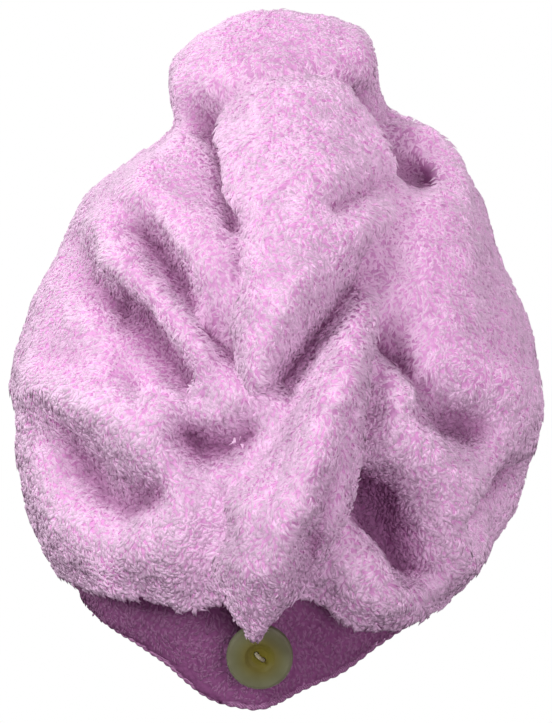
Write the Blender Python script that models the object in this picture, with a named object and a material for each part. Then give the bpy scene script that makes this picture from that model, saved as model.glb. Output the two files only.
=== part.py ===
# Hair turban towel of deep looped terry, fastened as it is worn on a head.
# The hood is one hollow cloth wall: a band round the head, a loose crown that slouches over the
# band at the nape, and a knot on top where the cloth is twisted. The tail leaves the knot, lies
# down the back of the hood and ends in an elastic loop, which a round button at the nape holds.
# Metres, +Z up. The nape faces -Y, the forehead +Y. The origin is where the crown of the head seats.

import math
from collections import namedtuple

import bmesh
import bpy
import numpy as np
from mathutils import Matrix, Vector

# Overall sizes of the cloth
HEIGHT = 0.299  # lowest point of the nape hem to the top of the knot
HALF_WIDTH = 0.1125
BACK_DEPTH = 0.119
FRONT_DEPTH = 0.109
SEAT_UP = 0.225  # crown of the head above the nape hem
PLAN_POWER = 2.2  # 2 gives an elliptical plan, more gives a squarer one

# Cloth
WALL = 0.0038  # terry with its loops
HEM_ROLL = 0.0010  # the sewn hem stands this much proud of the wall
FOLD_RISE = 0.0290  # crest of the tallest fold over the bottom of a crease
FOLD_MIDDLE = 0.0135  # height of a fold that lies level with the plain form
DENT_DEPTH = 0.0150
GATHER_RISE = 0.0090
CREASE_WIDTH = 0.0020  # how softly two folds run into each other
ROUNDING = 2  # how many times the folds are evened out over neighbouring faces

# Tail
TAIL_RISE = 0.0240  # thickest roll of the tail
TAIL_EDGE = 0.0045  # thickness along its sides
TAIL_GAP = 0.0008  # clearance to the hood
TAIL_TURN = 0.88  # its underside follows the hood no further round than this share of the half width

# Button, its thread and the elastic loop
BUTTON_RADIUS = 0.0142
BUTTON_THICK = 0.0046
BUTTON_ROUND = 0.0014
RECESS_RADIUS = 0.0050
RECESS_DEPTH = 0.0014
HOLE_RADIUS = 0.0012
HOLE_SPACING = 0.0038
HOLE_TURN = math.radians(-42)
THREAD_CLEARANCE = 0.0003
SHANK_RADIUS = 0.0022
SHANK_LENGTH = 0.0046
LOOP_WIRE = 0.0011
LOOP_CLEARANCE = 0.0004
LOOP_UP = 0.125  # where the loop leaves the tail, as a share of HEIGHT
BUTTON_ACROSS = -0.0069
BUTTON_UP = 0.0256

# Outline of the hood from the hem to the top of the knot. Level 0 is the hem, 1 the lip where the
# crown folds over the band, and 2 the top. Radii are shares of the named widths and depths. A row
# with tuck 1 is drawn up under the lip. Rings is how many rings of faces lead to the next row.
Section = namedtuple("Section", "level tuck left right back front rings")
SECTIONS = (
    Section(0.00, 0, 0.745, 0.655, 0.600, 0.880, 1),
    Section(0.45, 0, 0.770, 0.680, 0.670, 0.900, 1),
    Section(0.85, 1, 0.795, 0.695, 0.745, 0.915, 1),
    Section(1.00, 0, 0.830, 0.715, 0.875, 0.930, 1),
    Section(1.06, 0, 0.885, 0.800, 0.945, 0.960, 2),
    Section(1.15, 0, 0.955, 0.930, 0.990, 0.985, 4),
    Section(1.27, 0, 0.990, 0.992, 1.000, 1.000, 3),
    Section(1.36, 0, 1.000, 1.005, 0.985, 0.990, 4),
    Section(1.46, 0, 0.938, 0.948, 0.930, 0.955, 4),
    Section(1.56, 0, 0.848, 0.860, 0.845, 0.880, 3),
    Section(1.65, 0, 0.752, 0.792, 0.735, 0.780, 2),
    Section(1.71, 0, 0.630, 0.725, 0.635, 0.670, 2),
    Section(1.76, 0, 0.455, 0.672, 0.520, 0.550, 1),
    Section(1.79, 0, 0.380, 0.615, 0.450, 0.460, 2),
    Section(1.83, 0, 0.375, 0.430, 0.385, 0.395, 1),
    Section(1.87, 0, 0.390, 0.380, 0.375, 0.400, 2),
    Section(1.92, 0, 0.375, 0.372, 0.350, 0.376, 1),
    Section(1.96, 0, 0.285, 0.330, 0.275, 0.285, 1),
    Section(1.985, 0, 0.175, 0.235, 0.170, 0.175, 0),
)

# Heights of the hem and of the lip round the head, and how far the band is tucked up behind the
# lip, as shares of HEIGHT. Degrees run from the nape: minus is to its left, seen from behind.
Rim = namedtuple("Rim", "degrees hem lip tuck")
RIM = (
    Rim(-180, 0.340, 0.375, 0.000),
    Rim(-135, 0.255, 0.290, 0.000),
    Rim(-90, 0.157, 0.190, 0.000),
    Rim(-62, 0.118, 0.170, 0.030),
    Rim(-42, 0.088, 0.162, 0.050),
    Rim(-30, 0.062, 0.157, 0.055),
    Rim(-18, 0.019, 0.153, 0.055),
    Rim(-10, 0.008, 0.159, 0.055),
    Rim(-4, 0.000, 0.165, 0.055),
    Rim(2, 0.018, 0.168, 0.055),
    Rim(8, 0.033, 0.166, 0.055),
    Rim(22, 0.051, 0.117, 0.055),
    Rim(42, 0.086, 0.111, 0.045),
    Rim(62, 0.118, 0.143, 0.020),
    Rim(90, 0.157, 0.180, 0.000),
    Rim(135, 0.255, 0.290, 0.000),
)

# How many columns of faces each stretch of the plan has. The back, where the folds are, has most.
Stretch = namedtuple("Stretch", "start end columns")
PLAN = (
    Stretch(-180, -95, 8),
    Stretch(-95, -10, 21),
    Stretch(-10, 20, 5),
    Stretch(20, 95, 18),
    Stretch(95, 180, 8),
)

# Folds of the hood, seen from behind. Each follows a line through its points, given as shares of
# HALF_WIDTH across and of HEIGHT up, and is wide as a share of HALF_WIDTH and high as one of FOLD_RISE.
Fold = namedtuple("Fold", "name points width rise")
HOOD_FOLDS = (
    Fold("knot_rim", ((-0.34, 0.88), (-0.30, 0.95), (0.00, 0.98), (0.28, 0.94), (0.35, 0.87)), 0.13, 0.72),
    Fold("left_panel", ((-0.52, 0.70), (-0.42, 0.77), (-0.27, 0.80)), 0.24, 0.80),
    Fold("panel_edge", ((-0.40, 0.72), (-0.24, 0.64), (-0.14, 0.55)), 0.14, 0.95),
    Fold("middle_diagonal", ((-0.66, 0.67), (-0.50, 0.61), (-0.32, 0.54), (-0.15, 0.45)), 0.13, 1.00),
    Fold("left_middle", ((-0.72, 0.58), (-0.58, 0.51), (-0.40, 0.46), (-0.22, 0.42)), 0.14, 0.78),
    Fold("left_rim", ((-0.80, 0.67), (-0.90, 0.57), (-0.95, 0.47)), 0.12, 0.70),
    Fold("left_belly", ((-0.88, 0.45), (-0.68, 0.44), (-0.50, 0.40), (-0.30, 0.42)), 0.14, 1.00),
    Fold("left_outer_belly", ((-0.94, 0.38), (-0.88, 0.31), (-0.74, 0.24)), 0.13, 0.75),
    Fold("left_lobe", ((-0.78, 0.21), (-0.58, 0.23), (-0.38, 0.23), (-0.26, 0.27)), 0.16, 1.00),
    Fold("left_lobe_ridge", ((-0.46, 0.37), (-0.32, 0.31), (-0.27, 0.22)), 0.14, 0.95),
    Fold("right_shoulder", ((0.42, 0.85), (0.58, 0.83), (0.70, 0.77)), 0.12, 0.85),
    Fold("right_panel", ((0.62, 0.72), (0.60, 0.63), (0.66, 0.56)), 0.24, 0.80),
    Fold("right_outer", ((0.84, 0.60), (0.92, 0.48), (0.90, 0.36)), 0.14, 0.68),
    Fold("right_belly", ((0.58, 0.51), (0.76, 0.48), (0.90, 0.44)), 0.13, 0.80),
    Fold("right_lower_puff", ((0.42, 0.46), (0.49, 0.40), (0.66, 0.31), (0.74, 0.24)), 0.15, 1.00),
    Fold("right_side_puff", ((0.80, 0.37), (0.86, 0.31)), 0.10, 0.75),
    Fold("right_hem_puff", ((0.28, 0.24), (0.38, 0.19), (0.52, 0.15), (0.66, 0.18)), 0.13, 1.05),
)

# Dents that go deeper than the creases between folds: place, radius and depth as shares.
Dent = namedtuple("Dent", "name across up width depth")
DENTS = (
    Dent("shoulder_pocket", 0.47, 0.805, 0.13, 1.00),
    Dent("under_rim", 0.02, 0.905, 0.16, 0.45),
    Dent("left_pocket", -0.20, 0.390, 0.12, 0.85),
    Dent("right_dimple", 0.45, 0.535, 0.11, 0.60),
    Dent("right_pocket", 0.36, 0.275, 0.13, 1.20),
    Dent("right_valley", 0.50, 0.225, 0.09, 0.90),
    Dent("outer_dimple", 0.68, 0.405, 0.10, 0.40),
)

# Gathers of the forehead side, which the photograph doesn't show: each climbs from the forehead band
# to the neck of the knot and leans as the cloth is twisted. Degrees are measured from the forehead.
Gather = namedtuple("Gather", "low_degrees high_degrees width rise")
GATHERS = (
    Gather(-78, -36, 24, 0.60),
    Gather(-44, 0, 24, 0.90),
    Gather(-10, 38, 24, 1.00),
    Gather(26, 78, 24, 0.95),
    Gather(62, 116, 24, 0.70),
)

# The tail's two sides from its root under the knot's rim to its tip: height as a share of HEIGHT,
# sides as shares of HALF_WIDTH, thickness as a share of TAIL_RISE, and how far the underside of the
# free tip turns in towards the button, as a share of BACK_DEPTH.
TailRow = namedtuple("TailRow", "up left right thick turn_in")
TAIL_ROWS = (
    TailRow(0.905, -0.18, 0.22, 0.30, -0.012),
    TailRow(0.865, -0.22, 0.33, 0.62, -0.022),
    TailRow(0.815, -0.21, 0.41, 0.75, -0.016),
    TailRow(0.755, -0.17, 0.45, 0.85, 0.000),
    TailRow(0.700, -0.14, 0.44, 0.95, 0.000),
    TailRow(0.640, -0.14, 0.40, 1.00, 0.000),
    TailRow(0.560, -0.15, 0.37, 1.00, 0.000),
    TailRow(0.470, -0.14, 0.34, 1.00, 0.000),
    TailRow(0.385, -0.14, 0.31, 1.00, 0.000),
    TailRow(0.300, -0.18, 0.27, 0.95, 0.000),
    TailRow(0.225, -0.22, 0.19, 0.85, 0.000),
    TailRow(0.158, -0.20, 0.10, 0.70, 0.000),
    TailRow(0.125, -0.17, 0.04, 0.55, 0.035),
    TailRow(0.097, -0.13, -0.03, 0.38, 0.060),
)
TAIL_RINGS_PER_ROW = 3
TAIL_COLUMNS = 12
TAIL_UNDER_COLUMNS = 6

# The twist of the tail: the strand from the knot crosses over to the left, and a second strand
# comes out from under it and runs down to the button. Shares as in HOOD_FOLDS, rise of TAIL_RISE.
TAIL_FOLDS = (
    Fold("root", ((0.06, 0.90), (0.10, 0.84), (0.12, 0.78)), 0.26, 0.92),
    Fold("upper_left", ((-0.06, 0.80), (-0.05, 0.68), (-0.06, 0.56), (-0.11, 0.44)), 0.12, 1.00),
    Fold("upper_middle", ((0.22, 0.76), (0.06, 0.64), (-0.03, 0.54)), 0.13, 1.05),
    Fold("upper_edge", ((0.42, 0.725), (0.28, 0.690), (0.13, 0.620), (0.02, 0.545)), 0.07, 1.05),
    Fold("low_strand", ((0.32, 0.56), (0.24, 0.45), (0.12, 0.34), (0.00, 0.22), (-0.06, 0.13)), 0.12, 1.0),
    Fold("lower_edge", ((0.30, 0.42), (0.24, 0.29), (0.13, 0.17)), 0.08, 0.70),
    Fold("left_edge", ((-0.08, 0.34), (-0.13, 0.26), (-0.12, 0.17)), 0.09, 0.75),
)


def smooth_step(value, start, end):
    """0 at start and 1 at end, with no corner at either."""
    share = np.clip((np.asarray(value, float) - start) / (end - start), 0.0, 1.0)
    return share * share * (3.0 - 2.0 * share)


def smooth_column(stations, values, at):
    """Values at stations, read at other places along one smooth curve through them."""
    stations, values, at = np.asarray(stations, float), np.asarray(values, float), np.asarray(at, float)
    slopes = np.gradient(values, stations)
    span = np.clip(np.searchsorted(stations, at, side="right") - 1, 0, len(stations) - 2)
    length = stations[span + 1] - stations[span]
    t = (at - stations[span]) / length
    start = values[span] * (2 * t**3 - 3 * t**2 + 1) + slopes[span] * length * (t**3 - 2 * t**2 + t)
    return start + values[span + 1] * (3 * t**2 - 2 * t**3) + slopes[span + 1] * length * (t**3 - t**2)


def rim_column(name, degrees):
    """One column of RIM at these angles, joined up all the way round."""
    rows = [(row.degrees + turn, getattr(row, name)) for turn in (-360, 0, 360) for row in RIM]
    angles, values = zip(*rows)
    return smooth_column(angles, values, degrees)


def power_of(value, power):
    return np.sign(value) * np.abs(value) ** power


def plain_form(degrees, station):
    """Point of the hood without its folds. station counts the rows of SECTIONS from the hem up."""
    rows = range(len(SECTIONS))
    level, tuck, left, right, back, front = (
        smooth_column(rows, [getattr(row, name) for row in SECTIONS], station)
        for name in ("level", "tuck", "left", "right", "back", "front")
    )
    hem, lip, drawn_up = (rim_column(name, degrees) for name in ("hem", "lip", "tuck"))
    below = hem + (lip - hem) * level
    above = lip + (1.0 - lip) * (level - 1.0)
    up = np.where(level < 1.0, below, above) + drawn_up * tuck
    angle = np.radians(degrees)
    across = power_of(np.sin(angle), 2 / PLAN_POWER)
    behind = power_of(np.cos(angle), 2 / PLAN_POWER)
    x = across * HALF_WIDTH * np.where(across < 0, left, right)
    y = -behind * np.where(behind > 0, BACK_DEPTH * back, FRONT_DEPTH * front)
    return np.stack([x, y, up * HEIGHT], axis=-1)


def normals_of(grid):
    """Outward normals of a closed ring grid indexed [ring, column]."""
    around = np.roll(grid, -1, axis=1) - np.roll(grid, 1, axis=1)
    upward = np.gradient(grid, axis=0)
    normal = np.cross(around, upward)
    return normal / np.linalg.norm(normal, axis=-1, keepdims=True)


def distance_to_line(x, z, points):
    """Distance from each (x, z) to a line through points."""
    nearest = np.full(np.shape(x), np.inf)
    for (x0, z0), (x1, z1) in zip(points, points[1:]):
        dx, dz = x1 - x0, z1 - z0
        along = np.clip(((x - x0) * dx + (z - z0) * dz) / (dx * dx + dz * dz), 0.0, 1.0)
        nearest = np.minimum(nearest, np.hypot(x - x0 - along * dx, z - z0 - along * dz))
    return nearest


def fold_field(x, z, folds, rise):
    """Height of a set of round folds that run into each other in creases."""
    crowd = np.ones(np.shape(x))
    for fold in folds:
        points = [(across * HALF_WIDTH, up * HEIGHT) for across, up in fold.points]
        share = distance_to_line(x, z, points) / (fold.width * HALF_WIDTH)
        height = fold.rise * rise * np.exp(-1.2 * share**2)
        crowd += np.exp(height / CREASE_WIDTH) - 1.0
    return CREASE_WIDTH * np.log(crowd)


def rounded(height, passes, wraps):
    """Cloth can't turn on the spot: average each point of a grid of heights with its neighbours."""
    for _ in range(passes):
        for axis in (0, 1):
            width = [(1, 1) if k == axis else (0, 0) for k in (0, 1)]
            padded = np.pad(height, width, mode="wrap" if wraps and axis == 1 else "edge")
            places = np.arange(height.shape[axis])
            before, after = (np.take(padded, places + step, axis=axis) for step in (0, 2))
            height = height / 2 + (before + after) / 4
    return height


def dent_field(x, z):
    depth = np.zeros(np.shape(x))
    for dent in DENTS:
        share = np.hypot(x - dent.across * HALF_WIDTH, z - dent.up * HEIGHT) / (dent.width * HALF_WIDTH)
        depth += dent.depth * DENT_DEPTH * np.exp(-(share**2) * 1.6)
    return depth


def tail_column(name, up):
    """One column of TAIL_ROWS at these heights, given as shares of HEIGHT."""
    rows = TAIL_ROWS[::-1]
    return smooth_column([row.up for row in rows], [getattr(row, name) for row in rows], up)


def beside_tail(x, z):
    """0 where the tail lies on the hood, rising to 1 a little way outside its sides."""
    up = np.clip(z / HEIGHT, TAIL_ROWS[-1].up, TAIL_ROWS[0].up)
    to_left = tail_column("left", up) - x / HALF_WIDTH
    to_right = x / HALF_WIDTH - tail_column("right", up)
    outside = np.maximum(to_left, to_right)
    over_root = z / HEIGHT - TAIL_ROWS[0].up
    return np.maximum(smooth_step(outside, 0.030, 0.13), smooth_step(over_root, 0.012, 0.04))


def gather_field(degrees, level):
    """Height of the gathers round the forehead side."""
    from_forehead = (degrees + 360.0) % 360.0 - 180.0
    climb = smooth_step(level, 1.0, 1.9)
    height = np.zeros(np.shape(degrees))
    for gather in GATHERS:
        middle = gather.low_degrees + (gather.high_degrees - gather.low_degrees) * climb
        share = (from_forehead - middle) / (gather.width * (1.0 - 0.35 * climb))
        height = np.maximum(height, gather.rise * np.exp(-1.4 * share**2))
    ends = smooth_step(level, 1.05, 1.35) * (1.0 - 0.75 * smooth_step(level, 1.72, 1.84))
    return GATHER_RISE * (height - 0.8) * ends


def plan_degrees():
    """Angles of the hood's columns of faces."""
    return np.concatenate([np.linspace(s.start, s.end, s.columns, endpoint=False) for s in PLAN])


def ring_stations():
    """Places of the hood's rings of faces, counted in rows of SECTIONS."""
    stations = [i + k / row.rings for i, row in enumerate(SECTIONS) for k in range(row.rings)]
    return np.array(stations + [len(SECTIONS) - 1.0])


def hood_skins():
    """Outer and inner skin of the hood, each as a grid [ring, column] of points."""
    degrees, station = np.meshgrid(plan_degrees(), ring_stations())
    form = plain_form(degrees, station)
    normal = normals_of(form)
    x, y, z = form[..., 0], form[..., 1], form[..., 2]
    level = smooth_column(range(len(SECTIONS)), [row.level for row in SECTIONS], station)

    behind = smooth_step(-normal[..., 1], 0.05, 0.60)
    over_lip = smooth_step(level, 0.99, 1.03) * (1.0 - 0.5 * smooth_step(level, 1.96, 2.0))
    hood_fold = fold_field(x, z, HOOD_FOLDS, FOLD_RISE) - FOLD_MIDDLE - dent_field(x, z)
    height = rounded(hood_fold * behind * over_lip, ROUNDING, wraps=True) * beside_tail(x, z)
    in_front = smooth_step(normal[..., 1], 0.0, 0.55)
    height += rounded(gather_field(degrees, level), ROUNDING, wraps=True) * in_front

    slope = np.hypot(*(np.gradient(height, axis=k) / cell_length(form, k) for k in (0, 1)))
    thickness = WALL * np.minimum(np.sqrt(1.0 + slope**2), 1.5)
    hem_roll = HEM_ROLL * (1.0 - smooth_step(level, 0.0, 0.35))
    outer = form + normal * (height + hem_roll)[..., None]
    inner = form + normal * (height - thickness)[..., None]
    return outer, inner


def cell_length(grid, axis):
    """Length of the grid's cells along one of its two directions."""
    step = np.gradient(grid, axis=axis)
    return np.maximum(np.linalg.norm(step, axis=-1), 0.001)


def hood_surface_behind(x, z):
    """How far back the hood without folds lies at (x, z). Below the lip, how far back the lip does."""
    rows = range(len(SECTIONS))
    fine = np.linspace(3.0, len(SECTIONS) - 1.0, 120)  # from the lip up
    left, right = (
        smooth_column(rows, [getattr(row, side) for row in SECTIONS], fine) for side in ("left", "right")
    )
    behind = np.empty(x.shape)
    for place in np.ndindex(x.shape):
        width = HALF_WIDTH * (left if x[place] < 0 else right)
        across = np.clip(x[place] / width, -TAIL_TURN, TAIL_TURN)
        degrees = np.degrees(np.arcsin(power_of(across, PLAN_POWER / 2)))
        profile = plain_form(degrees, fine)
        behind[place] = np.interp(z[place], profile[:, 2], profile[:, 1])
    return behind


def new_object(name, mesh, material, parent):
    obj = bpy.data.objects.new(name, mesh)
    bpy.context.scene.collection.objects.link(obj)
    mesh.materials.append(material)
    obj.parent = parent
    return obj


def finish_mesh(name, bm, sharp_degrees=50):
    bmesh.ops.recalc_face_normals(bm, faces=bm.faces[:])
    mesh = bpy.data.meshes.new(name)
    bm.to_mesh(mesh)
    bm.free()
    mesh.shade_smooth()
    mesh.set_sharp_from_angle(angle=math.radians(sharp_degrees))
    return mesh


def add_grid(bm, grid, wraps):
    """Faces over a grid of points, and its vertices as rows."""
    rows = [[bm.verts.new(point) for point in row] for row in grid]
    last = len(rows[0]) if wraps else len(rows[0]) - 1
    for low, high in zip(rows, rows[1:]):
        for k in range(last):
            j = (k + 1) % len(low)
            bm.faces.new((low[k], low[j], high[j], high[k]))
    return rows


def close_top(bm, ring, point):
    top = bm.verts.new(point)
    for k, vertex in enumerate(ring):
        bm.faces.new((vertex, ring[(k + 1) % len(ring)], top))


def make_hood(material, parent):
    """One cloth wall, open at the hem and closed over the knot."""
    outer, inner = hood_skins()
    bm = bmesh.new()
    outer_rows = add_grid(bm, outer, wraps=True)
    inner_rows = add_grid(bm, inner, wraps=True)
    close_top(bm, outer_rows[-1], (0.0, 0.0, HEIGHT))
    close_top(bm, inner_rows[-1], (0.0, 0.0, HEIGHT - WALL))
    for k, vertex in enumerate(outer_rows[0]):
        j = (k + 1) % len(outer_rows[0])
        bm.faces.new((vertex, outer_rows[0][j], inner_rows[0][j], inner_rows[0][k]))
    return new_object("hood", finish_mesh("hood", bm), material, parent)


def tail_skins():
    """Upper and under side of the tail, each as a grid [row, column] of points, and both its edges."""
    rows = len(TAIL_ROWS)
    stations = np.linspace(0, rows - 1, (rows - 1) * TAIL_RINGS_PER_ROW + 1)
    up = smooth_column(range(rows), [row.up for row in TAIL_ROWS], stations)
    left, right, thick, turn_in = (
        tail_column(name, up)[:, None] for name in ("left", "right", "thick", "turn_in")
    )
    z = np.repeat(up[:, None] * HEIGHT, TAIL_COLUMNS + 1, axis=1)
    across = np.linspace(0.0, 1.0, TAIL_COLUMNS + 1)[None, :]
    x = (left + (right - left) * across) * HALF_WIDTH

    underside = hood_surface_behind(x, z) - TAIL_GAP + turn_in * BACK_DEPTH
    dome = np.sqrt(np.clip(1.0 - np.abs(2.0 * across - 1.0) ** 2.4, 0.0, None))
    rolls = rounded(fold_field(x, z, TAIL_FOLDS, TAIL_RISE), ROUNDING, wraps=False)
    height = TAIL_EDGE + np.minimum(rolls, TAIL_RISE * thick * 1.05) * dome
    upper = np.stack([x, underside - height, z], axis=-1)
    under = np.stack([x, underside, z], axis=-1)
    return upper, under


def make_tail(material, parent):
    """The twisted tail, a thick wad of cloth that lies on the hood."""
    upper, under = tail_skins()
    step = TAIL_COLUMNS // TAIL_UNDER_COLUMNS
    bm = bmesh.new()
    upper_rows = add_grid(bm, upper, wraps=False)
    under_rows = add_grid(bm, under[:, ::step], wraps=False)
    for side in (0, -1):
        for k in range(len(upper_rows) - 1):
            low = (upper_rows[k][side], under_rows[k][side])
            high = (upper_rows[k + 1][side], under_rows[k + 1][side])
            bm.faces.new((*low, *reversed(high)))
    for end in (0, -1):
        for k in range(TAIL_UNDER_COLUMNS):
            edge = upper_rows[end][k * step : (k + 1) * step + 1]
            bm.faces.new((*edge, under_rows[end][k + 1], under_rows[end][k]))
    return new_object("tail", finish_mesh("tail", bm), material, parent)


def button_place():
    """Frame of the button: the origin on the band, X across, Y up along the cloth and Z out of it."""
    station = np.linspace(0.0, 2.0, 81)
    share = BUTTON_ACROSS / (HALF_WIDTH * SECTIONS[1].left)
    degrees = math.degrees(math.asin(power_of(share, PLAN_POWER / 2)))
    band = plain_form(np.full(station.shape, degrees), station)
    nearest = int(np.abs(band[:, 2] - BUTTON_UP).argmin())
    upward = Vector(band[nearest + 2] - band[nearest - 2])
    upward = Vector((0.0, upward.y, upward.z)).normalized()
    place = Matrix.Identity(4)
    across = Vector((1.0, 0.0, 0.0))
    for column, axis in enumerate((across, upward, across.cross(upward))):
        place.col[column][:3] = axis
    place.translation = Vector((BUTTON_ACROSS, band[nearest][1], BUTTON_UP))
    return place


def turned(profile, sides, place):
    """Closed body turned round the place's Z axis, from (radius, height) pairs that end on the axis."""
    bm = bmesh.new()
    rings = []
    for radius, height in profile[1:-1]:
        angles = [2.0 * math.pi * k / sides for k in range(sides)]
        ring = [Vector((radius * math.cos(a), radius * math.sin(a), height)) for a in angles]
        rings.append([bm.verts.new(place @ point) for point in ring])
    for low, high in zip(rings, rings[1:]):
        for k in range(sides):
            j = (k + 1) % sides
            bm.faces.new((low[k], low[j], high[j], high[k]))
    for ring, (_, height) in ((rings[0], profile[0]), (rings[-1], profile[-1])):
        close_top(bm, ring, place @ Vector((0.0, 0.0, height)))
    return bm


def tube(points, radius, sides, closed):
    """Round bar along a line of points, closed into a ring or capped at both ends."""
    bm = bmesh.new()
    count = len(points)
    side = None
    rings = []
    for k, point in enumerate(points):
        before = points[k - 1] if closed or k else point
        after = points[(k + 1) % count] if closed or k < count - 1 else point
        along = (after - before).normalized()
        side = along.orthogonal() if side is None else side - along * side.dot(along)
        side = side.normalized()
        other = along.cross(side)
        angles = [2.0 * math.pi * j / sides for j in range(sides)]
        ring = [(side * math.cos(a) + other * math.sin(a)) * radius for a in angles]
        rings.append([bm.verts.new(point + offset) for offset in ring])
    pairs = list(zip(rings, rings[1:]))
    for low, high in pairs:
        for k in range(sides):
            j = (k + 1) % sides
            bm.faces.new((low[k], low[j], high[j], high[k]))
    if closed:
        join_rings(bm, rings[-1], rings[0])
    else:
        bm.faces.new(rings[0])
        bm.faces.new(rings[-1])
    return bm


def join_rings(bm, low, high):
    """Faces between two rings, starting at the corner of high that is nearest to low's first."""
    start = min(range(len(high)), key=lambda k: (high[k].co - low[0].co).length)
    for k in range(len(low)):
        j = (k + 1) % len(low)
        corners = (low[k], low[j], high[(start + j) % len(high)], high[(start + k) % len(high)])
        bm.faces.new(corners)


def smooth_line(points, closed, per_span):
    """Evenly curved line through a few points."""
    count = len(points)
    line = []
    for k in range(count if closed else count - 1):
        around = [k + step for step in (-1, 0, 1, 2)]
        if closed:
            around = [j % count for j in around]
        before, start, end, after = (points[min(max(j, 0), count - 1)] for j in around)
        for share in (j / per_span for j in range(per_span)):
            pull_start, pull_end = (end - before) / 2, (after - start) / 2
            line.append(
                start * (2 * share**3 - 3 * share**2 + 1)
                + pull_start * (share**3 - 2 * share**2 + share)
                + end * (3 * share**2 - 2 * share**3)
                + pull_end * (share**3 - share**2)
            )
    return line if closed else line + [points[-1]]


def apply_boolean(target, other, operation):
    """Cut other from target, or weld it on, and take other away."""
    modifier = target.modifiers.new(operation.lower(), "BOOLEAN")
    modifier.operation = operation
    modifier.solver = "EXACT"
    modifier.object = other
    bpy.context.view_layer.update()
    evaluated = target.evaluated_get(bpy.context.evaluated_depsgraph_get())
    mesh = bpy.data.meshes.new_from_object(evaluated)
    target.modifiers.clear()
    target.data = mesh
    bpy.data.objects.remove(other)
    mesh.shade_smooth()
    mesh.set_sharp_from_angle(angle=math.radians(40))


def hole_places(place):
    """The middle of each hole at the button's back."""
    reach = HOLE_SPACING / 2
    turned_by = Vector((math.cos(HOLE_TURN), math.sin(HOLE_TURN), 0.0))
    return [turned_by * reach * side + Vector((0.0, 0.0, SHANK_LENGTH)) for side in (-1, 1)]


def make_button(material, parent, place):
    """Round two-hole button with a dished middle, sewn on a thread shank."""
    half, radius, soft = BUTTON_THICK / 2, BUTTON_RADIUS, BUTTON_ROUND
    back, front = SHANK_LENGTH, SHANK_LENGTH + BUTTON_THICK
    profile = (
        (0.0, back),
        (radius - soft, back),
        (radius - soft * 0.3, back + soft * 0.3),
        (radius, back + soft),
        (radius, back + half),
        (radius, front - soft),
        (radius - soft * 0.3, front - soft * 0.3),
        (radius - soft, front),
        (RECESS_RADIUS + RECESS_DEPTH, front),
        (RECESS_RADIUS, front - RECESS_DEPTH * 0.6),
        (RECESS_RADIUS * 0.7, front - RECESS_DEPTH),
        (0.0, front - RECESS_DEPTH),
    )
    bm = turned(profile, 26, place)
    button = new_object("button", finish_mesh("button", bm, 40), material, parent)
    for middle in hole_places(place):
        ends = [place @ (middle + Vector((0, 0, z))) for z in (-0.003, BUTTON_THICK + 0.003)]
        drill = tube(ends, HOLE_RADIUS, 12, False)
        cutter = new_object("drill", finish_mesh("drill", drill), material, parent)
        apply_boolean(button, cutter, "DIFFERENCE")


def make_thread(material, parent, place):
    """Shank between the band and the button, and the stitch through its two holes."""
    wide = HOLE_SPACING / 2 + HOLE_RADIUS
    top = SHANK_LENGTH - THREAD_CLEARANCE
    profile = (
        (0.0, THREAD_CLEARANCE),
        (SHANK_RADIUS, THREAD_CLEARANCE),
        (SHANK_RADIUS, top * 0.6),
        (wide, top),
        (0.0, top),
    )
    shank = finish_mesh("button_thread", turned(profile, 14, place), 40)
    thread = new_object("button_thread", shank, material, parent)

    radius = HOLE_RADIUS - 1.3 * THREAD_CLEARANCE
    low = Vector((0.0, 0.0, -0.0014))
    over = Vector((0.0, 0.0, BUTTON_THICK - RECESS_DEPTH + radius + THREAD_CLEARANCE))
    left, right = hole_places(place)
    crossing = (left + right) / 2 + over * 1.12
    climbs = (low, over * 0.55, over * 0.90)
    path = [left + climb for climb in climbs] + [crossing] + [right + climb for climb in reversed(climbs)]
    stitch = tube([place @ point for point in smooth_line(path, False, 3)], radius, 8, False)
    stitch_object = new_object("stitch", finish_mesh("stitch", stitch), material, parent)
    apply_boolean(thread, stitch_object, "UNION")


def make_loop(material, parent, place):
    """Elastic loop that comes out under the tip of the tail and is hooked round the button's shank."""
    tip_up = np.array([LOOP_UP])
    tip_z = tip_up * HEIGHT
    tip_x = (tail_column("left", tip_up) + tail_column("right", tip_up)) / 2 * HALF_WIDTH
    under = hood_surface_behind(tip_x, tip_z) - TAIL_GAP + tail_column("turn_in", tip_up) * BACK_DEPTH
    tip = place.inverted() @ Vector((tip_x[0], under[0] + LOOP_WIRE + LOOP_CLEARANCE, tip_z[0]))
    reach = HOLE_SPACING / 2 + HOLE_RADIUS + LOOP_CLEARANCE + LOOP_WIRE
    middle = SHANK_LENGTH / 2
    rim = BUTTON_RADIUS + LOOP_CLEARANCE
    path = [
        Vector((0.0, -reach, middle)),
        Vector((reach, 0.0, middle)),
        Vector((reach * 0.9, rim * 0.6, middle)),
        Vector((reach * 0.6 + tip.x * 0.4, rim + 0.0012, middle * 1.3)),
        Vector((tip.x + LOOP_WIRE * 1.8, (rim + tip.y) / 2 + 0.001, (middle + tip.z) / 2)),
        tip,
        Vector((tip.x - LOOP_WIRE * 1.8, (rim + tip.y) / 2 + 0.001, (middle + tip.z) / 2)),
        Vector((-reach * 0.6 + tip.x * 0.4, rim + 0.0012, middle * 1.3)),
        Vector((-reach * 0.9, rim * 0.6, middle)),
        Vector((-reach, 0.0, middle)),
    ]
    line = [place @ point for point in smooth_line(path, True, 3)]
    loop = finish_mesh("elastic_loop", tube(line, LOOP_WIRE, 8, True))
    new_object("elastic_loop", loop, material, parent)


def clear_scene():
    for obj in list(bpy.data.objects):
        bpy.data.objects.remove(obj)


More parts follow.
